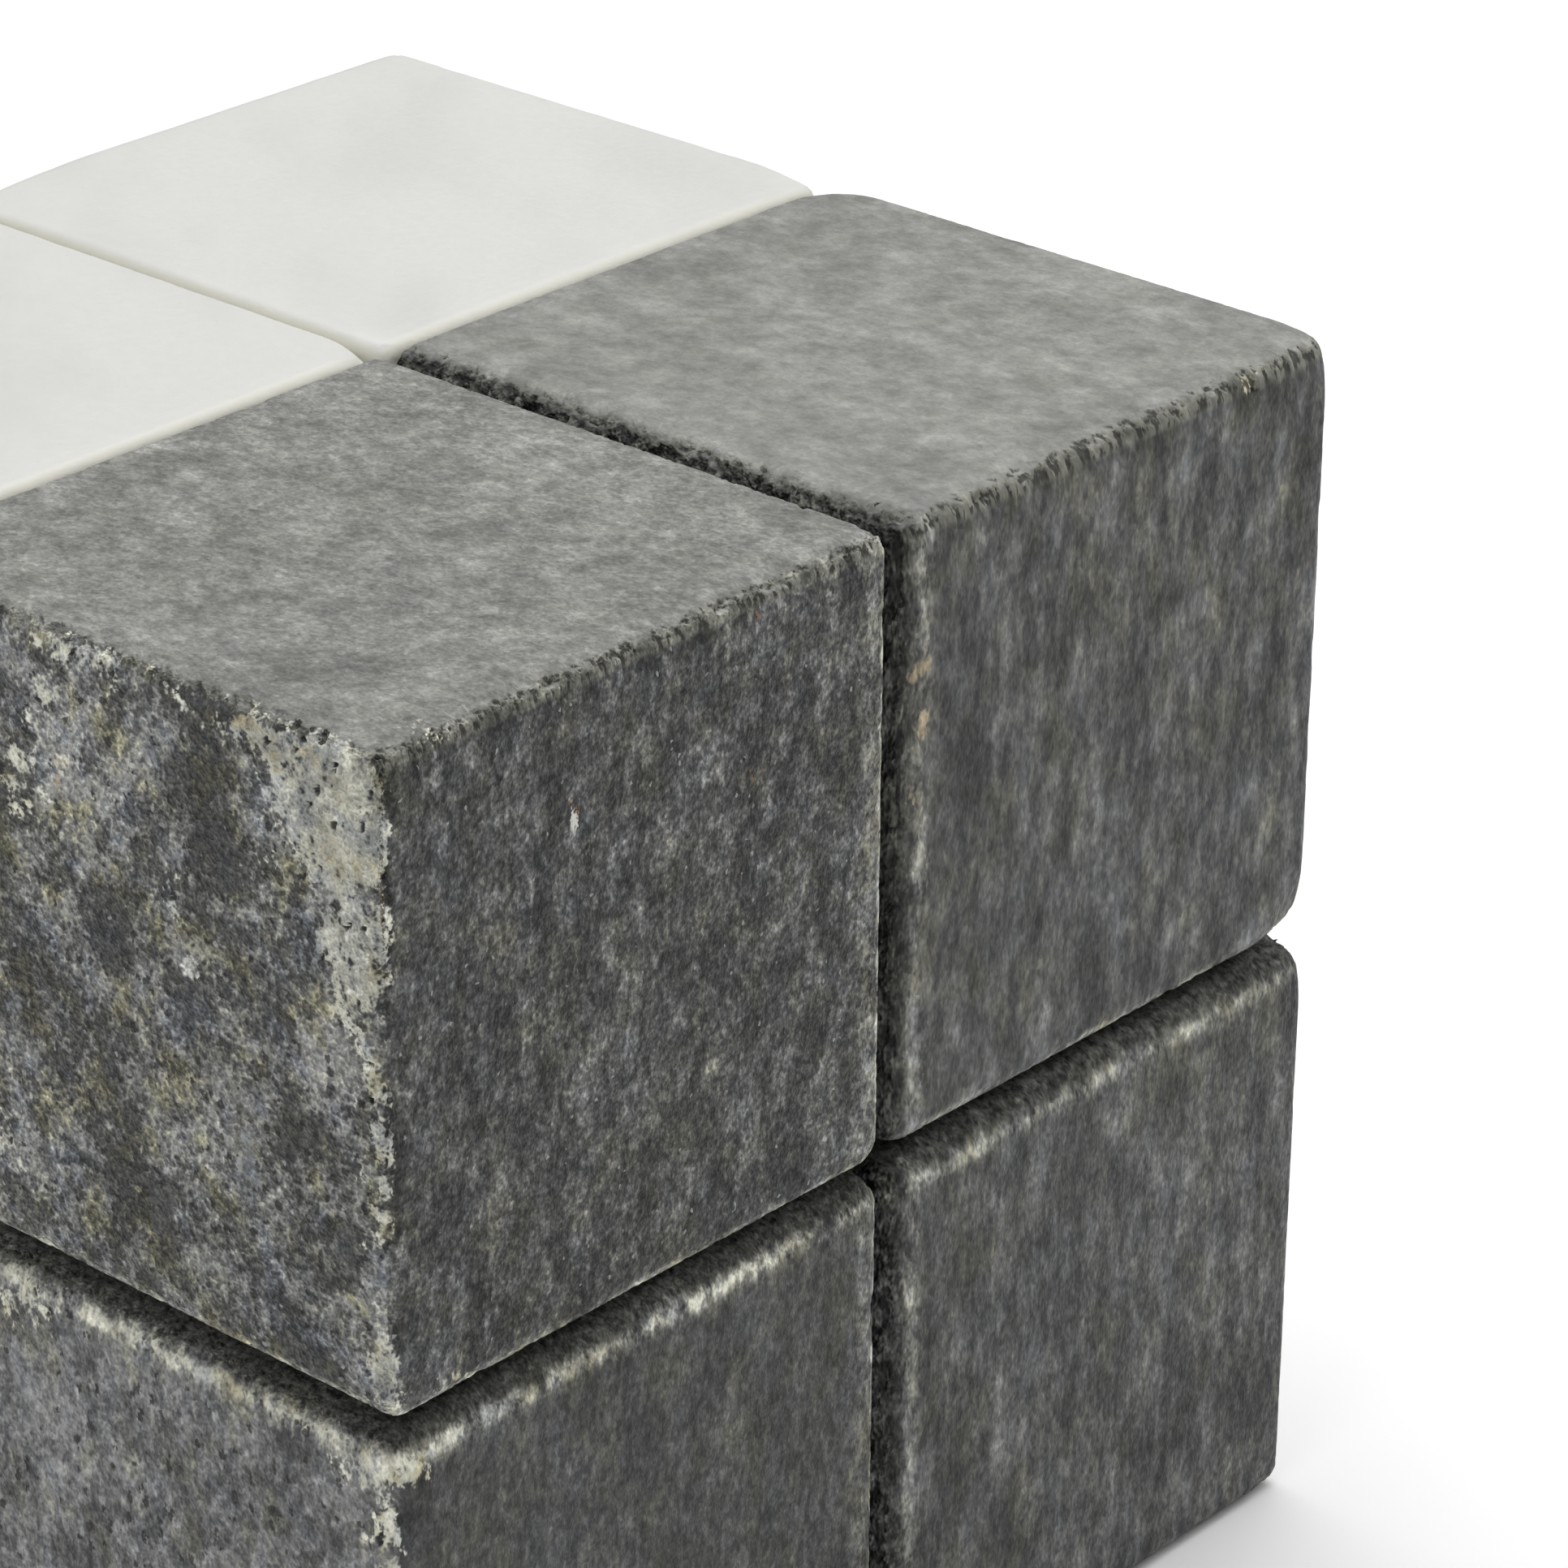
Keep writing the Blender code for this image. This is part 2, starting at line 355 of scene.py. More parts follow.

# The dark stone's greys, each beside a plain grey, and its lights and darks: the pale teeth are
# partly painted light, the hole colour is painted shade, and the glint is a painted glint
WARM_GREY = (1.005, 1.012, 0.962, 1.0)
BLUE_GREY = (0.93, 1.0, 1.075, 1.0)
OLIVE = (1.11, 1.07, 0.74, 1.0)
CALM_GREY = (1.0, 1.006, 0.985, 1.0)
COOL_GREY = (0.985, 1.0, 1.03, 1.0)
HONED_GREY = (1.0, 1.012, 0.935, 1.0)
PALE_AND_LIT_TEETH = (0.215, 0.214, 0.180)
GREY_CREAM = (0.40, 0.412, 0.39, 1.0)
OCHRE_CREAM = (0.43, 0.405, 0.29, 1.0)
HOLE_SHADE = (0.028, 0.027, 0.023, 1.0)
GLINT = (0.46, 0.47, 0.46, 1.0)

# The white stone's crystals, and its warm colour along the joints, partly painted light that lifts
# the shade on its rounded edges
CRYSTAL_WHITE = (0.6, 0.6, 0.58, 1.0)
JOINT_WHITE = (0.64, 0.63, 0.56, 1.0)

# How a cube is sawn, rounded and divided, and how uneven a dark cube's edges are
SAW_CUTS = 6
ROUNDING_STEPS = 10
DIVIDING_ROUNDS = 7
LONGEST_SHARE = 1.35
EDGE_BAND = 2.6 * MM
HALF_HIDDEN = 2.2 * MM
HIDDEN = 5.0 * MM
HIDDEN_SPACING = 8.0 * MM
ON_FACE = 0.01 * MM
EDGE_SLACK = 0.35 * MM

# The soft lights: each one's place, the point that it looks at and its side, in metres
LIGHTS = {
    "overhead": ((0.10, 0.15, 0.95), (0.0, 0.0, 0.05), 0.9),
    "side": ((-0.95, -0.10, 0.45), (0.0, 0.0, 0.05), 0.6),
    "floor": ((0.55, -0.25, 0.60), (0.16, 0.05, 0.0), 0.6),
}
FLOOR_DROP = 0.02 * MM

# What the settings of a size, a share and a colour have in common
LENGTH = {"unit": "LENGTH", "precision": 5}
SHARE = {"min": 0.0, "max": 1.0, "precision": 3}
COLOUR = {"subtype": "COLOR", "size": 3, "min": 0.0, "max": 1.0}


class MARBLE_PG_stage(bpy.types.PropertyGroup):
    """The floor, the lights and the camera."""

    floor_side: bpy.props.FloatProperty(
        name="Floor side", description="Side of the square floor", default=12.0, unit="LENGTH"
    )
    floor_colour: bpy.props.FloatVectorProperty(
        name="Floor colour", description="Colour of the pale floor",
        default=(0.98, 0.98, 0.98), **COLOUR,
    )
    room_colour: bpy.props.FloatVectorProperty(
        name="Room colour", description="Colour of the light that comes from all round",
        default=(1.0, 1.0, 1.0), **COLOUR,
    )
    room_strength: bpy.props.FloatProperty(
        name="Room light", description="Strength of the light from all round", default=0.29, min=0.0
    )
    overhead_power: bpy.props.FloatProperty(
        name="Overhead light", description="Power of the large soft light above the block",
        default=7.8, unit="POWER",
    )
    side_power: bpy.props.FloatProperty(
        name="Side light", description="Power of the soft light at the block's left",
        default=1.5, unit="POWER",
    )
    floor_power: bpy.props.FloatProperty(
        name="Floor light", description="Power of the soft light on the floor at the block's right",
        default=2.0, unit="POWER",
    )
    camera_place: bpy.props.FloatVectorProperty(
        name="Camera place", description="Where the camera stands",
        default=(-0.29064, -0.29646, 0.26244), subtype="TRANSLATION", unit="LENGTH", size=3,
    )
    camera_azimuth: bpy.props.FloatProperty(
        name="Camera azimuth", description="Turn of the camera round the block, from its front",
        default=math.radians(-48.576), subtype="ANGLE",
    )
    camera_elevation: bpy.props.FloatProperty(
        name="Camera elevation", description="Angle that the camera looks down by",
        default=math.radians(25.477), subtype="ANGLE",
    )
    camera_roll: bpy.props.FloatProperty(
        name="Camera roll", description="Tilt of the camera about the way it looks",
        default=math.radians(0.4355), subtype="ANGLE",
    )
    camera_lens: bpy.props.FloatProperty(
        name="Camera lens", description="Focal length in millimetres on a sensor 36 mm wide",
        default=137.505,
    )


class MARBLE_PG_dark(bpy.types.PropertyGroup):
    """The four dark cubes."""

    outer_radius: bpy.props.FloatProperty(
        name="Outer edge radius", description="Rounding of an edge that faces no other cube",
        default=0.0018, **LENGTH,
    )
    joint_radius: bpy.props.FloatProperty(
        name="Joint edge radius", description="Rounding of an edge along a joint",
        default=0.0027, **LENGTH,
    )
    joint_gap: bpy.props.FloatProperty(
        name="Joint gap", description="Space left between two cubes that stand side by side",
        default=0.0001, **LENGTH,
    )
    usual_wear: bpy.props.FloatProperty(
        name="Usual wear", description="Wear of an edge that is not listed", default=0.4, **SHARE
    )
    nibble_depth: bpy.props.FloatProperty(
        name="Nibble depth", description="Depth of the small bites along a worn edge",
        default=0.00024, **LENGTH,
    )
    chip_depth: bpy.props.FloatProperty(
        name="Chip depth", description="Depth of the larger chips along a worn edge",
        default=0.0005, **LENGTH,
    )
    pit_depth: bpy.props.FloatProperty(
        name="Pit depth", description="Depth of the open pits in the cream stone",
        default=0.0004, **LENGTH,
    )
    edge_spacing: bpy.props.FloatProperty(
        name="Edge spacing", description="Distance between mesh points along a seen edge",
        default=0.00023, **LENGTH,
    )
    face_spacing: bpy.props.FloatProperty(
        name="Face spacing", description="Distance between mesh points on a seen face",
        default=0.00046, **LENGTH,
    )
    # The front, side and top lightness: partly the stone's finish, partly painted light from above,
    # with painted sheen on the top
    front_lightness: bpy.props.FloatProperty(
        name="Front lightness", description="Share of light that its front and back give back",
        default=0.077, **SHARE,
    )
    side_lightness: bpy.props.FloatProperty(
        name="Side lightness", description="Share of light that its left and right sides give back",
        default=0.170, **SHARE,
    )
    top_lightness: bpy.props.FloatProperty(
        name="Top lightness", description="Share of light that its honed top gives back",
        default=0.202, **SHARE,
    )
    cream_colour: bpy.props.FloatVectorProperty(
        name="Cream colour", description="The cream stone that shows at worn edges and in patches",
        default=(0.52, 0.515, 0.435), **COLOUR,
    )


class MARBLE_PG_white(bpy.types.PropertyGroup):
    """The four white cubes."""

    outer_radius: bpy.props.FloatProperty(
        name="Outer edge radius", description="Rounding of an edge that faces no other cube",
        default=0.0032, **LENGTH,
    )
    joint_radius: bpy.props.FloatProperty(
        name="Joint edge radius", description="Rounding of an edge along a joint",
        default=0.0026, **LENGTH,
    )
    joint_gap: bpy.props.FloatProperty(
        name="Joint gap", description="Space left between two cubes that stand side by side",
        default=0.0001, **LENGTH,
    )
    wear_depth: bpy.props.FloatProperty(
        name="Wear depth", description="Unevenness of the tumbled edges",
        default=0.00018, **LENGTH,
    )
    edge_spacing: bpy.props.FloatProperty(
        name="Edge spacing", description="Distance between mesh points along a seen edge",
        default=0.0005, **LENGTH,
    )
    face_spacing: bpy.props.FloatProperty(
        name="Face spacing", description="Distance between mesh points on a seen face",
        default=0.0018, **LENGTH,
    )
    ground_colour: bpy.props.FloatVectorProperty(
        name="Ground colour", description="The warm white ground of the stone",
        default=(0.620, 0.622, 0.594), **COLOUR,
    )
    cloud_colour: bpy.props.FloatVectorProperty(
        name="Cloud colour", description="The soft grey clouds in it",
        default=(0.575, 0.578, 0.556), **COLOUR,
    )
    vein_colour: bpy.props.FloatVectorProperty(
        name="Vein colour", description="The few thin veins and specks",
        default=(0.455, 0.459, 0.445), **COLOUR,
    )


class Wiring:
    """A node tree being wired: each call adds one node and gives back its output."""

    def __init__(self, tree):
        self.tree = tree

    def add(self, kind, **settings):
        node = self.tree.nodes.new(kind)
        for name, value in settings.items():
            setattr(node, name, value)
        return node

    def feed(self, socket, value):
        if isinstance(value, bpy.types.NodeSocket):
            self.tree.links.new(value, socket)
        elif value is not None:
            socket.default_value = value

    def maths(self, operation, first, second=None, third=None, clamp=False):
        node = self.add("ShaderNodeMath", operation=operation, use_clamp=clamp)
        for socket, value in zip(node.inputs, (first, second, third)):
            self.feed(socket, value)
        return node.outputs[0]

    def times(self, first, second, clamp=False):
        return self.maths("MULTIPLY", first, second, clamp=clamp)

    def plus(self, first, second):
        return self.maths("ADD", first, second)

    def vector(self, operation, first, second=None, scale=None):
        node = self.add("ShaderNodeVectorMath", operation=operation)
        self.feed(node.inputs[0], first)
        self.feed(node.inputs[1], second)
        self.feed(node.inputs[3], scale)
        return node.outputs["Value" if operation == "LENGTH" else 0]

    def turn(self, vector, axis, degrees):
        node = self.add("ShaderNodeVectorRotate", rotation_type=axis + "_AXIS")
        self.feed(node.inputs["Vector"], vector)
        node.inputs["Angle"].default_value = math.radians(degrees)
        return node.outputs[0]

    def parts(self, vector):
        node = self.add("ShaderNodeSeparateXYZ")
        self.feed(node.inputs[0], vector)
        return node.outputs[:3]

    def noise(self, vector, scale=1.0, detail=2.0, roughness=0.5):
        node = self.add("ShaderNodeTexNoise")
        self.feed(node.inputs["Vector"], vector)
        node.inputs["Scale"].default_value = scale
        node.inputs["Detail"].default_value = detail
        node.inputs["Roughness"].default_value = roughness
        return node.outputs[0]

    def cells(self, vector):
        node = self.add("ShaderNodeTexVoronoi")
        self.feed(node.inputs["Vector"], vector)
        node.inputs["Scale"].default_value = 1.0
        return node.outputs["Distance"], node.outputs["Color"]

    def span(self, value, low, high, to_low=0.0, to_high=1.0):
        node = self.add("ShaderNodeMapRange", interpolation_type="SMOOTHSTEP")
        for socket, given in zip(node.inputs, (value, low, high, to_low, to_high)):
            self.feed(socket, given)
        return node.outputs[0]

    def blend(self, factor, first, second):
        node = self.add("ShaderNodeMix", data_type="RGBA", blend_type="MIX")
        self.feed(node.inputs[0], factor)
        self.feed(node.inputs[6], first)
        self.feed(node.inputs[7], second)
        return node.outputs[2]


def rgba(colour):
    """A colour with its fourth value."""
    return (*colour, 1.0)


def evened(wires, noise, spread):
    """A noise brought to a middle of 0 and a spread of 1."""
    return wires.times(wires.maths("SUBTRACT", noise, 0.5), 1.0 / spread)


def summed(wires, *shares):
    """The sum of fields, each with its share."""
    total = 0.0
    for field, share in shares:
        total = wires.maths("MULTIPLY_ADD", field, share, total)
    return total


def lightness(wires, tone, middle, contrast):
    """How light the stone is: the tone spreads it evenly round its middle on a scale of ratios."""
    return wires.times(wires.maths("EXPONENT", wires.times(tone, contrast)), middle)


def drawn_out(wires, grain, feature):
    """The pattern's coordinates, for features of this size in millimetres in x, y and z."""
    return wires.vector("MULTIPLY", grain, tuple(1.0 / size for size in feature))


def nibble_pattern(wires, grain):
    """Small bites, longest along the lie of the stone: 0 where it is whole, 1 in a bite."""
    noise = wires.noise(drawn_out(wires, grain, NIBBLES), detail=2.0, roughness=0.7)
    return wires.span(noise, 0.50, 0.58)


def chip_pattern(wires, grain):
    """Larger chips, a few millimetres across."""
    noise = wires.noise(drawn_out(wires, grain, CHIPS), detail=3.0, roughness=0.55)
    return wires.span(noise, 0.54, 0.66)


def fine_pattern(wires, grain):
    """Small grains, a little longer along the lie of the stone."""
    noise = wires.noise(drawn_out(wires, grain, FINE_GRAINS), detail=2.0, roughness=0.95)
    return evened(wires, noise, FINE_SPREAD)


def pit_pattern(wires, grain, fine):
    """Open pits of uneven outline, scattered: 0 where the stone is whole, 1 in a pit."""
    bent = wires.vector("ADD", grain, wires.vector("SCALE", (0.10, -0.08, 0.12), scale=fine))
    distance, colour = wires.cells(drawn_out(wires, bent, PITS))
    reach = wires.span(wires.parts(colour)[0], 0.30, 1.0, 0.0, 0.44)
    return wires.span(wires.maths("SUBTRACT", reach, distance), 0.0, 0.10)


def faces_of(points, half, tolerance):
    """Which of the six faces each point lies on."""
    found = {}
    for name, (axis, side) in FACES.items():
        found[name] = points[:, axis] * side > half[axis] - tolerance
    return found


def joint_faces(place):
    """The names of the three faces that look at a neighbouring cube."""
    return {name for name, (axis, side) in FACES.items() if side == -place[axis]}


def edge_value(table, usual, pair):
    """The table's value for the edge between two faces, or the usual one."""
    return table.get(pair, table.get(pair[::-1], usual))


def edge_pairs():
    """The twelve edges, as pairs of face names."""
    names = list(FACES)
    pairs = [(a, b) for i, a in enumerate(names) for b in names[i + 1:]]
    return [(a, b) for a, b in pairs if FACES[a][0] != FACES[b][0]]


def vertex_places(mesh):
    """The mesh's points as rows of x, y and z."""
    places = np.empty(len(mesh.vertices) * 3)
    mesh.vertices.foreach_get("co", places)
    return places.reshape(-1, 3)


def edge_ends(mesh):
    """The two points of every edge, by number."""
    ends = np.empty(len(mesh.edges) * 2, dtype=np.int32)
    mesh.edges.foreach_get("vertices", ends)
    return ends.reshape(-1, 2)


def sawn_cube(name, low, high):
    """A sawn cube between two corners, divided into a plain grid, with its place in its mesh."""
    bpy.ops.object.select_all(action="DESELECT")
    bpy.ops.mesh.primitive_cube_add(size=1.0, location=(low + high) / 2, scale=high - low)
    piece = bpy.context.object
    piece.name = name
    piece.data.name = name
    bpy.ops.object.transform_apply(location=True, rotation=True, scale=True)
    bpy.ops.object.mode_set(mode="EDIT")
    bpy.ops.mesh.select_all(action="SELECT")
    bpy.ops.mesh.subdivide(number_cuts=SAW_CUTS)
    bpy.ops.object.mode_set(mode="OBJECT")
    return piece


def round_edges(piece, centre, half, radii):
    """Tumble the sharp edges round, each by its own radius."""
    mesh = piece.data
    on = faces_of(vertex_places(mesh) - centre, half, ON_FACE)
    ends = edge_ends(mesh)
    widest = max(radii.values())
    weights = np.zeros(len(ends), dtype=np.float32)
    for (first, second), radius in radii.items():
        both = on[first] & on[second]
        weights[both[ends[:, 0]] & both[ends[:, 1]]] = radius / widest
    layer = mesh.attributes.new("bevel_weight_edge", "FLOAT", "EDGE")
    layer.data.foreach_set("value", weights)
    rounding = piece.modifiers.new("Rounded edges", "BEVEL")
    rounding.limit_method = "WEIGHT"
    rounding.width = widest
    rounding.segments = ROUNDING_STEPS
    rounding.use_clamp_overlap = False
    bpy.ops.object.modifier_apply(modifier=rounding.name)


def wanted_spacing(points, half, place, fine, plain):
    """How far apart mesh points may lie: fine along seen edges, coarse where nothing is seen."""
    from_outside = np.min(half - points * place, axis=1)
    from_edge = np.sort(half - np.abs(points), axis=1)[:, 1]
    spacing = np.full(len(points), plain)
    spacing[from_edge < EDGE_BAND] = fine
    spacing[from_outside > HALF_HIDDEN] = plain * 1.5
    spacing[from_outside > HIDDEN] = HIDDEN_SPACING
    underside = (place[2] < 0) & (points[:, 2] < -half[2] + 0.5 * MM)
    spacing[underside] = HIDDEN_SPACING
    return spacing


def divide(piece, centre, half, place, fine, plain):
    """Divide every edge that is too long for its place, again and again."""
    bpy.context.tool_settings.mesh_select_mode = (False, True, False)
    for _ in range(DIVIDING_ROUNDS):
        mesh = piece.data
        points = vertex_places(mesh) - centre
        first, second = edge_ends(mesh).T
        middles = (points[first] + points[second]) / 2
        lengths = np.linalg.norm(points[first] - points[second], axis=1)
        long = lengths > LONGEST_SHARE * wanted_spacing(middles, half, place, fine, plain)
        if not long.any():
            return
        mesh.vertices.foreach_set("select", np.zeros(len(mesh.vertices), dtype=bool))
        mesh.polygons.foreach_set("select", np.zeros(len(mesh.polygons), dtype=bool))
        mesh.edges.foreach_set("select", long)
        bpy.ops.object.mode_set(mode="EDIT")
        bpy.ops.mesh.subdivide(number_cuts=1)
        bpy.ops.object.mode_set(mode="OBJECT")


def split_faces(piece):
    """Split every face into well-shaped triangles, so that the added points leave no slivers."""
    bpy.ops.object.mode_set(mode="EDIT")
    bpy.ops.mesh.select_all(action="SELECT")
    bpy.ops.mesh.quads_convert_to_tris(quad_method="BEAUTY", ngon_method="BEAUTY")
    bpy.ops.object.mode_set(mode="OBJECT")


def paint_value(mesh, name, values):
    """Keep one number for each point of the mesh."""
    layer = mesh.attributes.new(name, "FLOAT", "POINT")
    layer.data.foreach_set("value", np.asarray(values, dtype=np.float32))


def paint_grain(mesh, points, offset, stretch):
    """Keep each point's place in the stone, in millimetres, for the solid pattern."""
    layer = mesh.attributes.new("grain", "FLOAT_VECTOR", "POINT")
    layer.data.foreach_set("vector", (points / MM / stretch + offset).astype(np.float32).ravel())


def edge_wear(points, half, wear, radii):
    """How worn the stone is at each point, from the wear of the edges near it."""
    worn = np.zeros(len(points))
    for (first, second), amount in wear.items():
        away = 0.0
        for axis, side in (FACES[first], FACES[second]):
            away = away + (half[axis] - points[:, axis] * side) ** 2
        reach = radii[(first, second)] + 0.9 * MM
        nearness = np.clip(1.0 - np.sqrt(away) / reach, 0.0, 1.0)
        worn = np.maximum(worn, amount * nearness ** 0.6)
    return worn


def face_depth(points, half, name):
    """How deep each point lies under one face, in millimetres."""
    axis, side = FACES[name]
    return (half[axis] - points[:, axis] * side) / MM


def rim_amount(points, half, place, rims):
    """How far each point lies in a pale rim beside a joint, from 0 to 1."""
    joints = joint_faces(place)
    amount = np.zeros(len(points))
    for first, second, middle, reach, strength in rims:
        joint, outer = (first, second) if first in joints else (second, first)
        band = np.exp(-(((face_depth(points, half, joint) - middle) / reach) ** 2))
        seen = np.clip(1.6 - face_depth(points, half, outer), 0.0, 1.0)
        amount = np.maximum(amount, strength * band * seen)
    return amount


def bluntness(points, corners):
    """How far each point is worn in at the blunted corners, in metres."""
    depth = np.zeros(len(points))
    for corner, reach, deepest in corners:
        away = np.linalg.norm(points / MM - np.array(corner), axis=1)
        depth = np.maximum(depth, deepest * MM * np.clip(1.0 - away / reach, 0.0, 1.0) ** 2)
    return depth


def joint_dark(points, half, joints):
    """How strongly the joints show at each point, from 0 to 1: painted shade on a dark cube, and on
    a white cube its warm edge colour, partly painted light.
    """
    amount = np.zeros(len(points))
    for name, (reach, dark) in joints.items():
        into = face_depth(points, half, name)
        fade = max(0.5, 0.75 * reach)
        amount = np.maximum(amount, dark * np.clip((reach - into) / fade + 0.5, 0.0, 1.0))
    return amount


def spot(points, middle, reach):
    """How strongly a soft spot shows at each point: 1 in its middle, fading past its reach."""
    away = ((points / MM - np.array(middle)) / np.array(reach)) ** 2
    return np.exp(-away.sum(axis=1))


def shade_amount(points, tone, shades):
    """The tone of the stone at each point, beside the usual one."""
    total = np.full(len(points), tone)
    for middle, reach, strength in shades:
        total += strength * spot(points, middle, reach)
    return total


def cream_amount(points, patches):
    """How much cream stone there is at each point."""
    amount = np.zeros(len(points))
    for middle, reach, strength in patches:
        amount = np.maximum(amount, strength * spot(points, middle, reach))
    return amount


def paint_marks(mesh, points, marks):
    """Keep the colour of the strongest mark at each point, and its strength there."""
    layer = mesh.attributes.new("mark", "FLOAT_COLOR", "POINT")
    found = np.zeros((len(points), 4), dtype=np.float32)
    for middle, reach, colour, strength in marks:
        amount = strength * spot(points, middle, reach)
        stronger = amount >= found[:, 3]
        found[stronger, :3] = colour
        found[stronger, 3] = amount[stronger]
    layer.data.foreach_set("color", found.ravel())


def stone_box(name, place, gap):
    """The solid's corners, with the upright joint faces moved out until they nearly meet."""
    low, high = (Vector(corner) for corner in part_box(name))
    for axis in (0, 1):
        inner = low if place[axis] > 0 else high
        inner[axis] = place[axis] * gap / 2
    return low, high


def named_value(wires, name, kind="FLOAT"):
    """A value kept on the mesh, read in a geometry tree."""
    node = wires.add("GeometryNodeInputNamedAttribute", data_type=kind)
    node.inputs["Name"].default_value = name
    return node.outputs["Attribute"]


def coarse_patterns(wires, grain, bold):
    """The parts of the stone's pattern that are a millimetre or more across, by name."""
    found = {}
    for name, (feature, slant, detail, roughness, spread) in COARSE_PATTERNS.items():
        lie = wires.turn(grain, "X", slant) if slant else grain
        noise = wires.noise(drawn_out(wires, lie, feature), detail=detail, roughness=roughness)
        found[name] = evened(wires, noise, spread)
    for name in ("layer", "crust"):
        found[name] = wires.times(found[name], bold)
    return found


def new_wear_tree(name, numbers):
    """A geometry tree that takes a mesh and these numbers: its wiring, its inputs and outputs."""
    tree = bpy.data.node_groups.new(name, "GeometryNodeTree")
    tree.interface.new_socket("Geometry", in_out="INPUT", socket_type="NodeSocketGeometry")
    for number in numbers:
        tree.interface.new_socket(number, in_out="INPUT", socket_type="NodeSocketFloat")
    tree.interface.new_socket("Geometry", in_out="OUTPUT", socket_type="NodeSocketGeometry")
    wires = Wiring(tree)
    return wires, wires.add("NodeGroupInput").outputs, wires.add("NodeGroupOutput").inputs


def pushed_in(wires, geometry, depth):
    """The mesh with every point moved inwards by its depth."""
    normal = wires.add("GeometryNodeInputNormal").outputs[0]
    inward = wires.vector("SCALE", normal, scale=wires.times(depth, -1.0))
    move = wires.add("GeometryNodeSetPosition")
    wires.feed(move.inputs["Geometry"], geometry)
    wires.feed(move.inputs["Offset"], inward)
    return move.outputs[0]


def dark_wear_tree():
    """A geometry tree that bites chips, nibbles and pits into a dark cube and keeps its pattern."""
    numbers = ("Nibble depth", "Chip depth", "Pit depth", "Boldness")
    wires, given, result = new_wear_tree("Dark stone wear", numbers)
    grain = named_value(wires, "grain", "FLOAT_VECTOR")
    bites = wires.times(nibble_pattern(wires, grain), given["Nibble depth"])
    chips = wires.times(chip_pattern(wires, grain), given["Chip depth"])
    slack = wires.times(wires.noise(grain, scale=0.34), EDGE_SLACK)
    along_edge = wires.plus(wires.plus(bites, chips), slack)
    worn = wires.times(along_edge, named_value(wires, "wear"))
    pitted = pit_pattern(wires, grain, fine_pattern(wires, grain))
    pitted = wires.times(pitted, given["Pit depth"])
    pits = wires.times(pitted, wires.span(named_value(wires, "cream"), 0.15, 0.6))
    depth = wires.plus(wires.plus(worn, pits), named_value(wires, "blunt"))
    geometry = pushed_in(wires, given["Geometry"], depth)
    for name, value in coarse_patterns(wires, grain, given["Boldness"]).items():
        keep = wires.add("GeometryNodeStoreNamedAttribute", data_type="FLOAT", domain="POINT")
        wires.feed(keep.inputs["Geometry"], geometry)
        keep.inputs["Name"].default_value = name
        wires.feed(keep.inputs["Value"], value)
        geometry = keep.outputs[0]
    wires.feed(result["Geometry"], geometry)
    return wires.tree


def white_wear_tree():
    """A geometry tree that makes a white cube's tumbled edges slightly uneven."""
    wires, given, result = new_wear_tree("White stone wear", ("Depth",))
    grain = named_value(wires, "grain", "FLOAT_VECTOR")
    depth = wires.times(wires.noise(grain, scale=0.28), given["Depth"])
    wear, blunt = named_value(wires, "wear"), named_value(wires, "blunt")
    depth = wires.maths("MULTIPLY_ADD", depth, wear, blunt)
    wires.feed(result["Geometry"], pushed_in(wires, given["Geometry"], depth))
    return wires.tree


def wear_down(piece, tree, numbers):
    """Apply a wear tree to a piece, with its numbers by name."""
    wearing = piece.modifiers.new("Wear", "NODES")
    wearing.node_group = tree
    given = [item for item in tree.interface.items_tree if item.in_out == "INPUT"]
    sockets = {item.name: item.identifier for item in given}
    for name, number in numbers.items():
        wearing[sockets[name]] = number
    bpy.ops.object.modifier_apply(modifier=wearing.name)


def attribute(wires, name, output="Fac"):
    """A value kept on the mesh, read in a material."""
    return wires.add("ShaderNodeAttribute", attribute_name=name).outputs[output]


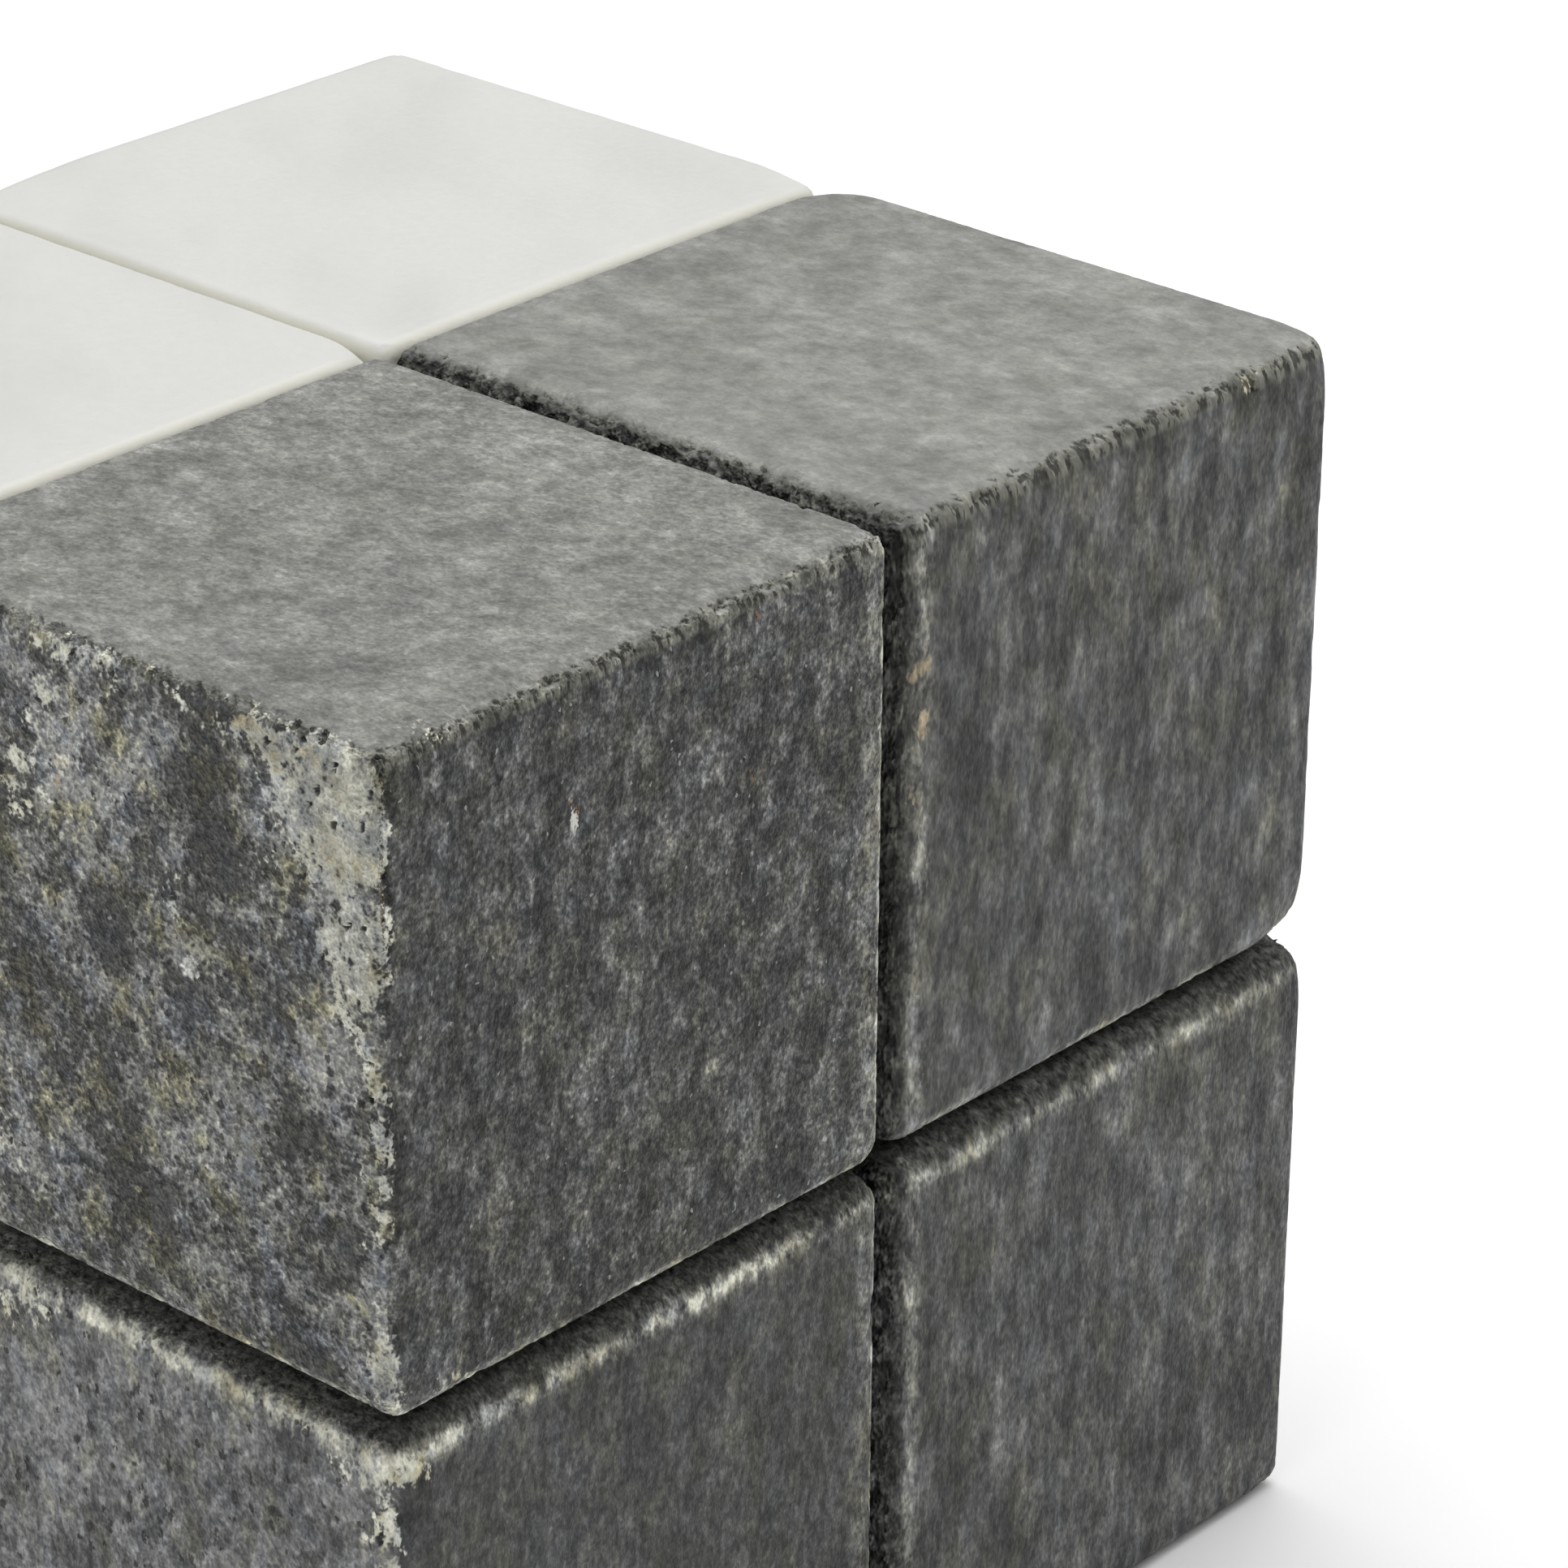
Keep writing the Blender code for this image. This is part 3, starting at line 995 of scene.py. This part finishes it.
class DarkStone(Wiring):
    """The dark stone's node tree: its fields, and a step for each thing that it shows."""

    def __init__(self, tree, sizes):
        super().__init__(tree)
        self.sizes = sizes
        self.grain = attribute(self, "grain", "Vector")
        self.crisp = attribute(self, "crisp")
        self.cream = attribute(self, "cream")
        self.tone = attribute(self, "tone")
        self.layer = attribute(self, "layer")
        self.crust = attribute(self, "crust")
        self.patch = attribute(self, "patch")

        # which way the face looks: up, or to the left or right
        nx, _, self.upward = self.parts(self.add("ShaderNodeTexCoord").outputs["Normal"])
        self.on_top = self.span(self.upward, 0.55, 0.90)
        self.on_side = self.span(self.maths("ABSOLUTE", nx), 0.55, 0.85)

        # small grains and crystals over the coarse patterns that the mesh carries
        self.fine = fine_pattern(self, self.grain)
        crystal_colour = self.cells(drawn_out(self, self.grain, CRYSTALS))[1]
        crystal_light, self.crystal_glint, _ = self.parts(crystal_colour)
        crystals = evened(self, crystal_light, CRYSTAL_SPREAD)
        self.rough = summed(self, (self.fine, 0.82), (crystals, 0.57))
        self.small = self.times(self.rough, self.crisp)
        self.hues = summed(self, (attribute(self, "hue"), 1.0), (self.fine, 0.35))
        self.tone_front = summed(self, (self.layer, 0.64), (self.crust, 0.38), (self.small, 0.71))
        self.mottle = summed(self, (self.patch, 0.14), (self.rough, 0.12))

        # worn edges, and pits that show in the cream stone and on the sides
        worn = self.span(attribute(self, "wear"), 0.36, 0.60)
        self.worn = self.times(worn, self.span(self.upward, 0.95, 0.80))
        creamy = self.span(self.cream, 0.10, 0.5)
        open_stone = self.maths("MAXIMUM", creamy, self.times(self.on_side, 0.90))
        self.pits = self.times(pit_pattern(self, self.grain, self.fine), open_stone)

    def tint(self):
        """A little blue-grey in some places and olive in others, most of it on the sides."""
        tint = self.blend(self.span(self.hues, -0.3, -2.2), WARM_GREY, BLUE_GREY)
        tint = self.blend(self.span(self.hues, 0.2, 2.2), tint, OLIVE)
        calm = self.blend(0.55, CALM_GREY, tint)
        cool = self.span(self.crisp, 1.0, 0.5, 0.0, 0.6)
        tint = self.blend(self.on_side, calm, self.blend(cool, tint, COOL_GREY))
        return self.blend(self.times(self.on_top, 0.85), tint, HONED_GREY)

    def level(self):
        """How light it is: grains on edge in front, open layers on the sides, a honed top. The top
        is painted lighter and the front darker than the sides, partly from the stone's finish and
        partly as painted light from above and painted sheen on the top.
        """
        front = lightness(self, self.tone_front, self.sizes.front_lightness, 0.60)
        openness = summed(self, (self.crust, 0.85), (self.small, 0.34), (self.tone, 2.4))
        side = lightness(self, self.small, self.sizes.side_lightness, 0.34)
        openness = self.maths("MULTIPLY_ADD", self.span(openness, -1.2, 1.5), 1.11, 0.52)
        side = self.times(side, openness)
        tone_top = summed(self, (self.layer, 0.44), (self.crust, 0.50), (self.small, 0.76))
        top = lightness(self, tone_top, self.sizes.top_lightness, 0.21)
        # painted light: the sides are lighter than the front, and the top lighter still
        level = self.maths("MULTIPLY_ADD", self.on_side, self.maths("SUBTRACT", side, front), front)
        level = self.maths("MULTIPLY_ADD", self.on_top, self.maths("SUBTRACT", top, level), level)
        return self.times(level, self.maths("EXPONENT", self.tone))

    def pale_and_lit_teeth(self, stone):
        """Paler worn stone between the small dark bites of a worn edge, with painted light where
        the teeth would catch the light from above.
        """
        pale = self.vector("SCALE", PALE_AND_LIT_TEETH, scale=lightness(self, self.tone_front, 1.0, 0.30))
        # painted light: the worn band between the bites is painted paler, as if its teeth caught
        # the light from above
        return self.blend(self.times(self.worn, 0.80), stone, pale)

    def cream_stone(self, stone):
        """Cream stone in the listed patches, and in broken beads along the joints."""
        patches = self.span(self.plus(self.cream, self.mottle), 0.40, 0.64)
        patches = self.times(patches, self.span(self.cream, 0.05, 0.20))
        broken = summed(self, (self.patch, 0.42), (self.rough, 0.30))
        beads = self.times(attribute(self, "rim"), self.plus(1.0, broken), clamp=True)
        here = self.maths("MAXIMUM", self.times(patches, 0.92), beads)
        here = self.times(here, self.span(self.upward, 0.80, 0.97, 1.0, 0.35))
        usual_cream = rgba(self.sizes.cream_colour)
        colour = self.blend(self.span(self.hues, -1.2, 0.2), GREY_CREAM, usual_cream)
        colour = self.blend(self.span(self.hues, 1.0, 2.4), colour, OCHRE_CREAM)
        tone = summed(self, (self.patch, 0.75), (self.rough, 0.62))
        cream = self.vector("SCALE", colour, scale=lightness(self, tone, 1.08, 0.26))
        return self.blend(here, stone, cream)

    def marks(self, stone):
        """The marks that the mesh carries, each with an uneven outline."""
        level = lightness(self, self.rough, 1.0, 0.25)
        strength = attribute(self, "mark", "Alpha")
        colour = self.vector("SCALE", attribute(self, "mark", "Color"), scale=level)
        uneven = self.plus(strength, self.mottle)
        here = self.span(uneven, 0.34, 0.66, 0.0, 0.90)
        here = self.times(here, self.span(strength, 0.02, 0.15))
        return self.blend(here, stone, colour)

    def specks(self, stone):
        """The marks too small for the mesh, each bent out of round by the fine grain."""
        bend = self.vector("SCALE", (0.16, 0.16, -0.30), scale=self.fine)
        bent = self.vector("ADD", self.grain, bend)
        for middle, reach, colour, strength in SPECKS:
            place = tuple(np.array(middle) + np.array(DARK_CUBES[NEAR_CUBE]["grain"]))
            away = self.vector("SUBTRACT", bent, place)
            away = self.vector("MULTIPLY", away, tuple(1.0 / np.array(reach)))
            here = self.span(self.vector("LENGTH", away), 1.2, 0.6, 0.0, strength)
            stone = self.blend(here, stone, rgba(colour))
        return stone

    def hole_shade(self, stone):
        """Painted shade in the pits and the bites: they are coloured nearly black, as if shaded
        inside.
        """
        bites = self.times(nibble_pattern(self, self.grain), self.worn)
        dark = self.times(self.maths("MAXIMUM", self.pits, bites), 0.86)
        # painted shade: the pits and the bites are coloured nearly black
        return self.blend(dark, stone, HOLE_SHADE)

    def glints(self, stone):
        """Painted glints: a few crystals on the faces of the near cube are painted bright, as if
        they caught the light.
        """
        glint = self.times(self.span(self.crystal_glint, 0.994, 0.997), 0.7)
        glint = self.times(glint, self.span(self.upward, 0.9, 0.7, 0.0, 1.0))
        glint = self.times(glint, self.span(self.crisp, 0.60, 0.90))
        return self.blend(glint, stone, GLINT)

    def joint_dark(self, stone):
        """Painted shade in the joints, where the cubes shade each other, broken up a little by the
        grains.
        """
        broken = self.maths("MULTIPLY_ADD", self.rough, -0.21, 1.0)
        dark = self.times(attribute(self, "joint"), broken)
        return self.vector("SCALE", stone, scale=self.maths("SUBTRACT", 1.0, dark, clamp=True))

    def relief(self):
        """The height of the grains, strongest on the sides, with the pits sunk into it."""
        height = self.maths("MULTIPLY_ADD", self.on_top, -0.07, 0.14)
        height = self.maths("MULTIPLY_ADD", self.on_side, 0.34, height)
        return self.maths("MULTIPLY_ADD", self.pits, -0.9, self.times(self.small, height))


def new_finish(name):
    """A new material, with its node tree and its shader."""
    material = bpy.data.materials.new(name)
    material.use_nodes = True
    return material, material.node_tree, material.node_tree.nodes["Principled BSDF"]


def raise_grain(wires, shader, height, strength, distance):
    """Raise the surface's grain by a height, as relief in the finish."""
    bump = wires.add("ShaderNodeBump")
    bump.inputs["Strength"].default_value = strength
    bump.inputs["Distance"].default_value = distance
    wires.feed(bump.inputs["Height"], height)
    wires.feed(shader.inputs["Normal"], bump.outputs[0])


def dark_marble(sizes):
    """The dark stone: one grain, thin in x and long in y and z, with cream patches and pits."""
    material, tree, shader = new_finish("dark_marble")
    wires = DarkStone(tree, sizes)
    stone = wires.vector("SCALE", wires.tint(), scale=wires.level())
    steps = (
        wires.pale_and_lit_teeth, wires.cream_stone, wires.marks, wires.specks,
        wires.hole_shade, wires.glints, wires.joint_dark,
    )
    for step in steps:
        stone = step(stone)
    wires.feed(shader.inputs["Base Color"], stone)
    wires.feed(shader.inputs["Roughness"], wires.span(wires.fine, -1.5, 1.5, 0.64, 0.50))
    shader.inputs["Specular IOR Level"].default_value = 0.30
    raise_grain(wires, shader, wires.relief(), 0.8, 0.3 * MM)
    return material


def white_marble(sizes):
    """The white stone: a warm white with soft grey clouds."""
    material, tree, shader = new_finish("white_marble")
    wires = Wiring(tree)
    grain = attribute(wires, "grain", "Vector")
    slanted = wires.turn(grain, "Z", WHITE_SLANT)
    cloud = wires.noise(drawn_out(wires, slanted, CLOUDS), roughness=0.45)
    wisp = wires.noise(drawn_out(wires, slanted, WISPS))
    crystals = wires.noise(grain, scale=1.4, roughness=0.6)
    ground, clouds = rgba(sizes.ground_colour), rgba(sizes.cloud_colour)
    stone = wires.blend(wires.span(cloud, 0.42, 0.70), ground, clouds)
    stone = wires.blend(wires.span(wisp, 0.60, 0.80, 0.0, 0.10), stone, rgba(sizes.vein_colour))
    stone = wires.blend(wires.span(crystals, 0.35, 0.7, 0.0, 0.05), stone, CRYSTAL_WHITE)
    # warm edge colour along the joints, partly painted light that lifts the shade on the rounding
    stone = wires.blend(attribute(wires, "joint"), stone, JOINT_WHITE)
    wires.feed(shader.inputs["Base Color"], stone)
    wires.feed(shader.inputs["Roughness"], wires.span(crystals, 0.3, 0.7, 0.46, 0.36))
    shader.inputs["Subsurface Weight"].default_value = 0.15
    shader.inputs["Subsurface Radius"].default_value = (1.0, 0.9, 0.75)
    shader.inputs["Subsurface Scale"].default_value = 2.5 * MM
    raise_grain(wires, shader, crystals, 0.12, 0.2 * MM)
    return material


def plain_material(name, colour, roughness):
    """A plain matt finish for the stage."""
    material, _, shader = new_finish(name)
    shader.inputs["Base Color"].default_value = rgba(colour)
    shader.inputs["Roughness"].default_value = roughness
    return material


def edge_radii(row, sizes):
    """The radius of each of a cube's twelve edges, in metres."""
    joints = joint_faces(row["place"])
    radii = {}
    for pair in edge_pairs():
        usual = sizes.joint_radius if joints & set(pair) else sizes.outer_radius
        listed = edge_value(row.get("radii", {}), None, pair)
        radii[pair] = usual if listed is None else listed * MM
    return radii


def edge_wears(row, usual):
    """The wear of each of a cube's twelve edges."""
    return {pair: edge_value(row.get("wear", {}), usual, pair) for pair in edge_pairs()}


def stone_cube(name, row, sizes, usual_wear):
    """One stone over its solid: sawn, rounded, divided and painted with its grain and wear."""
    radii = edge_radii(row, sizes)
    wear = edge_wears(row, usual_wear)
    low, high = stone_box(name, row["place"], sizes.joint_gap)
    piece = sawn_cube(name + "_stone", low, high)
    centre = np.array((low + high) / 2)
    half = np.array((high - low) / 2)
    round_edges(piece, centre, half, radii)
    divide(piece, centre, half, np.array(row["place"]), sizes.edge_spacing, sizes.face_spacing)
    split_faces(piece)
    points = vertex_places(piece.data) - centre
    stretch = np.array(row.get("stretch", NO_STRETCH))
    paint_grain(piece.data, points, np.array(row["grain"]), stretch)
    paint_value(piece.data, "wear", edge_wear(points, half, wear, radii))
    paint_value(piece.data, "joint", joint_dark(points, half, row.get("joints", {})))
    paint_value(piece.data, "blunt", bluntness(points, row.get("blunt", ())))
    if "shades" in row:
        paint_value(piece.data, "cream", cream_amount(points, row["cream"]))
        paint_value(piece.data, "rim", rim_amount(points, half, row["place"], row["rims"]))
        paint_value(piece.data, "tone", shade_amount(points, row["tone"], row["shades"]))
        paint_value(piece.data, "crisp", np.full(len(points), row["crisp"]))
        paint_marks(piece.data, points, MARKS.get(name, ()))
    return piece


def hand_over(piece, node, material):
    """Give a finished stone its finish and its place in the frame."""
    bpy.ops.object.shade_smooth()
    piece.data.materials.append(material)
    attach(piece, BODY)
    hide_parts(node)


class MARBLE_OT_dark_cubes(bpy.types.Operator):
    """Model the four dark cubes"""

    bl_idname = "marble.dark_cubes"
    bl_label = "Dark cubes"

    def execute(self, context):
        sizes = context.scene.marble_dark
        material = dark_marble(sizes)
        tree = dark_wear_tree()
        depths = {
            "Nibble depth": sizes.nibble_depth,
            "Chip depth": sizes.chip_depth,
            "Pit depth": sizes.pit_depth,
        }
        for node, row in DARK_CUBES.items():
            piece = stone_cube(node, row, sizes, sizes.usual_wear)
            wear_down(piece, tree, {**depths, "Boldness": row["bold"]})
            hand_over(piece, node, material)
        return {"FINISHED"}


class MARBLE_OT_white_cubes(bpy.types.Operator):
    """Model the four white cubes"""

    bl_idname = "marble.white_cubes"
    bl_label = "White cubes"

    def execute(self, context):
        sizes = context.scene.marble_white
        material = white_marble(sizes)
        tree = white_wear_tree()
        for node, row in WHITE_CUBES.items():
            piece = stone_cube(node, row, sizes, 1.0)
            wear_down(piece, tree, {"Depth": sizes.wear_depth})
            hand_over(piece, node, material)
        return {"FINISHED"}


def soft_light(name, power):
    """One of the square soft lights, with its power."""
    place, target, side = LIGHTS[name]
    bpy.ops.object.light_add(type="AREA", location=place)
    light = bpy.context.object
    light.name = light.data.name = name + "_light"
    light.data.shape = "SQUARE"
    light.data.size = side
    light.data.energy = power
    away = Vector(place) - Vector(target)
    light.rotation_mode = "QUATERNION"
    light.rotation_quaternion = away.to_track_quat("Z", "Y")


def camera_turn(azimuth, elevation, roll):
    """The camera's turn: it looks down at the block from its azimuth, then rolls."""
    back = Vector((
        math.sin(azimuth) * math.cos(elevation),
        -math.cos(azimuth) * math.cos(elevation),
        math.sin(elevation),
    ))
    right = Vector((math.cos(azimuth), math.sin(azimuth), 0.0))
    up = back.cross(right)
    rolled_right = math.cos(roll) * right + math.sin(roll) * up
    rolled_up = math.cos(roll) * up - math.sin(roll) * right
    return Matrix((rolled_right, rolled_up, back)).transposed().to_quaternion()


class MARBLE_OT_stage(bpy.types.Operator):
    """Set up the floor, the soft lights and the camera"""

    bl_idname = "marble.stage"
    bl_label = "Stage"

    def execute(self, context):
        stage = context.scene.marble_stage
        bpy.ops.object.select_all(action="DESELECT")
        bpy.ops.mesh.primitive_plane_add(size=stage.floor_side, location=(0.0, 0.0, -FLOOR_DROP))
        floor = context.object
        floor.name = "studio_floor"
        bpy.ops.object.transform_apply(location=True, rotation=True, scale=True)
        floor.data.materials.append(plain_material("studio_floor", stage.floor_colour, 0.8))

        world = bpy.data.worlds.new("studio_room")
        world.use_nodes = True
        room = world.node_tree.nodes["Background"]
        room.inputs["Color"].default_value = rgba(stage.room_colour)
        room.inputs["Strength"].default_value = stage.room_strength
        context.scene.world = world
        soft_light("overhead", stage.overhead_power)
        soft_light("side", stage.side_power)
        soft_light("floor", stage.floor_power)

        bpy.ops.object.camera_add(location=stage.camera_place)
        camera = context.object
        camera.name = "photo_camera"
        camera.rotation_mode = "QUATERNION"
        camera.rotation_quaternion = camera_turn(
            stage.camera_azimuth, stage.camera_elevation, stage.camera_roll
        )
        camera.data.sensor_width = 36.0
        camera.data.lens = stage.camera_lens
        camera.data.clip_start = 0.01
        camera.data.clip_end = 50.0
        context.scene.camera = camera
        context.scene.view_settings.view_transform = "Standard"
        context.scene.view_settings.look = "None"
        return {"FINISHED"}


class MARBLE_PT_block(bpy.types.Panel):
    """The marble block's steps and sizes"""

    bl_label = "Marble block"
    bl_idname = "MARBLE_PT_block"
    bl_space_type = "VIEW_3D"
    bl_region_type = "UI"
    bl_category = "Marble block"

    def draw(self, context):
        steps = (
            (MARBLE_OT_dark_cubes, context.scene.marble_dark),
            (MARBLE_OT_white_cubes, context.scene.marble_white),
            (MARBLE_OT_stage, context.scene.marble_stage),
        )
        for step, sizes in steps:
            box = self.layout.box()
            box.operator(step.bl_idname)
            for name in sizes.bl_rna.properties.keys():
                if name not in {"rna_type", "name"}:
                    box.prop(sizes, name)


CLASSES = (
    MARBLE_PG_stage,
    MARBLE_PG_dark,
    MARBLE_PG_white,
    MARBLE_OT_dark_cubes,
    MARBLE_OT_white_cubes,
    MARBLE_OT_stage,
    MARBLE_PT_block,
)


def register():
    """Make the classes and their sizes known to Blender."""
    for known in CLASSES:
        bpy.utils.register_class(known)
    bpy.types.Scene.marble_stage = bpy.props.PointerProperty(type=MARBLE_PG_stage)
    bpy.types.Scene.marble_dark = bpy.props.PointerProperty(type=MARBLE_PG_dark)
    bpy.types.Scene.marble_white = bpy.props.PointerProperty(type=MARBLE_PG_white)


def unregister():
    """Take the classes and their sizes out again."""
    del bpy.types.Scene.marble_white
    del bpy.types.Scene.marble_dark
    del bpy.types.Scene.marble_stage
    for known in reversed(CLASSES):
        bpy.utils.unregister_class(known)


def main():
    register()
    bpy.ops.marble.dark_cubes()
    bpy.ops.marble.white_cubes()
    bpy.ops.marble.stage()


if __name__ == "__main__":
    main()
